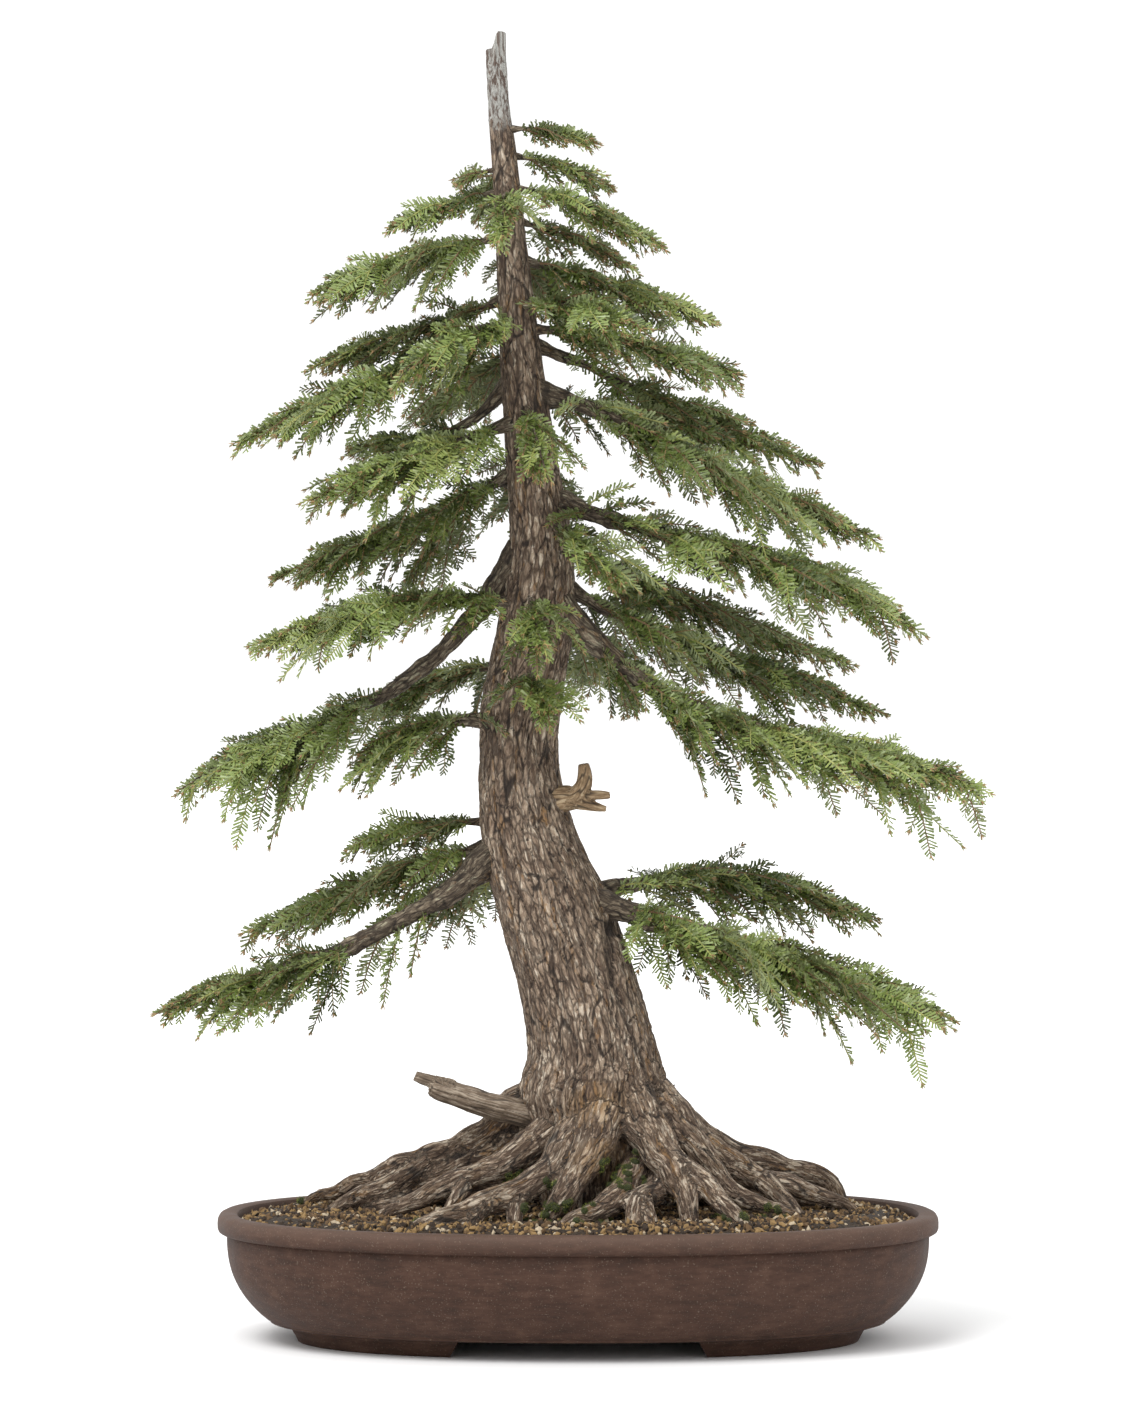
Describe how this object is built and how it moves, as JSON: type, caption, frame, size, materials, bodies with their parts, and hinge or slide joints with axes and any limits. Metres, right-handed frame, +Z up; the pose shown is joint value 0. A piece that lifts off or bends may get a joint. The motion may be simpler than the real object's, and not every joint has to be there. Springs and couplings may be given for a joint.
{
  "type": "western hemlock bonsai",
  "caption": "Western hemlock bonsai with a leaning gnarled trunk, dead broken leader, spread surface roots and drooping sprays of needles, in a dark oval footed pot.",
  "frame": {"origin": "on the table, under the middle of the pot", "axes": "+Z up, +X to the right along the pot's length as seen from the front, -Y to the front"},
  "size_m": [0.6302, 0.4048, 0.982],
  "materials": {
    "bark": "rough, fissured and flaking",
    "dead_wood": "bare, weathered and split",
    "foliage": "satin needles, paler underneath",
    "stoneware": "unglazed dark brown clay",
    "soil": "coarse matt grit with moss"
  },
  "bodies": {
    "root": {"bough_left_06": "bark", "bough_left_09": "bark", "bough_left_11": "bark", "bough_left_12": "bark", "bough_left_15": "bark", "bough_right_08": "bark", "bough_right_09": "bark", "bough_right_11": "bark", "bough_right_14": "bark", "bough_right_15": "bark", "bough_right_16": "bark", "foliage_back_01": "foliage", "foliage_back_02": "foliage", "foliage_back_03": "foliage", "foliage_back_04": "foliage", "foliage_back_05": "foliage", "foliage_back_06": "foliage", "foliage_back_07": "foliage", "foliage_front_01": "foliage", "foliage_front_02": "foliage", "foliage_front_03": "foliage", "foliage_front_04": "foliage", "foliage_front_05": "foliage", "foliage_left_01": "foliage", "foliage_left_02": "foliage", "foliage_left_03": "foliage", "foliage_left_04": "foliage", "foliage_left_05": "foliage", "foliage_left_06": "foliage", "foliage_left_07": "foliage", "foliage_left_08": "foliage", "foliage_left_09": "foliage", "foliage_left_10": "foliage", "foliage_left_11": "foliage", "foliage_left_12": "foliage", "foliage_left_13": "foliage", "foliage_left_14": "foliage", "foliage_left_15": "foliage", "foliage_left_16": "foliage", "foliage_right_01": "foliage", "foliage_right_02": "foliage", "foliage_right_03": "foliage", "foliage_right_04": "foliage", "foliage_right_05": "foliage", "foliage_right_06": "foliage", "foliage_right_07": "foliage", "foliage_right_08": "foliage", "foliage_right_09": "foliage", "foliage_right_10": "foliage", "foliage_right_11": "foliage", "foliage_right_12": "foliage", "foliage_right_13": "foliage", "foliage_right_14": "foliage", "foliage_right_15": "foliage", "foliage_right_16": "foliage", "forked_snag": "dead_wood", "low_snag": "dead_wood", "pot": "stoneware", "soil": "soil", "trunk": "bark"}
  },
  "joints": []
}
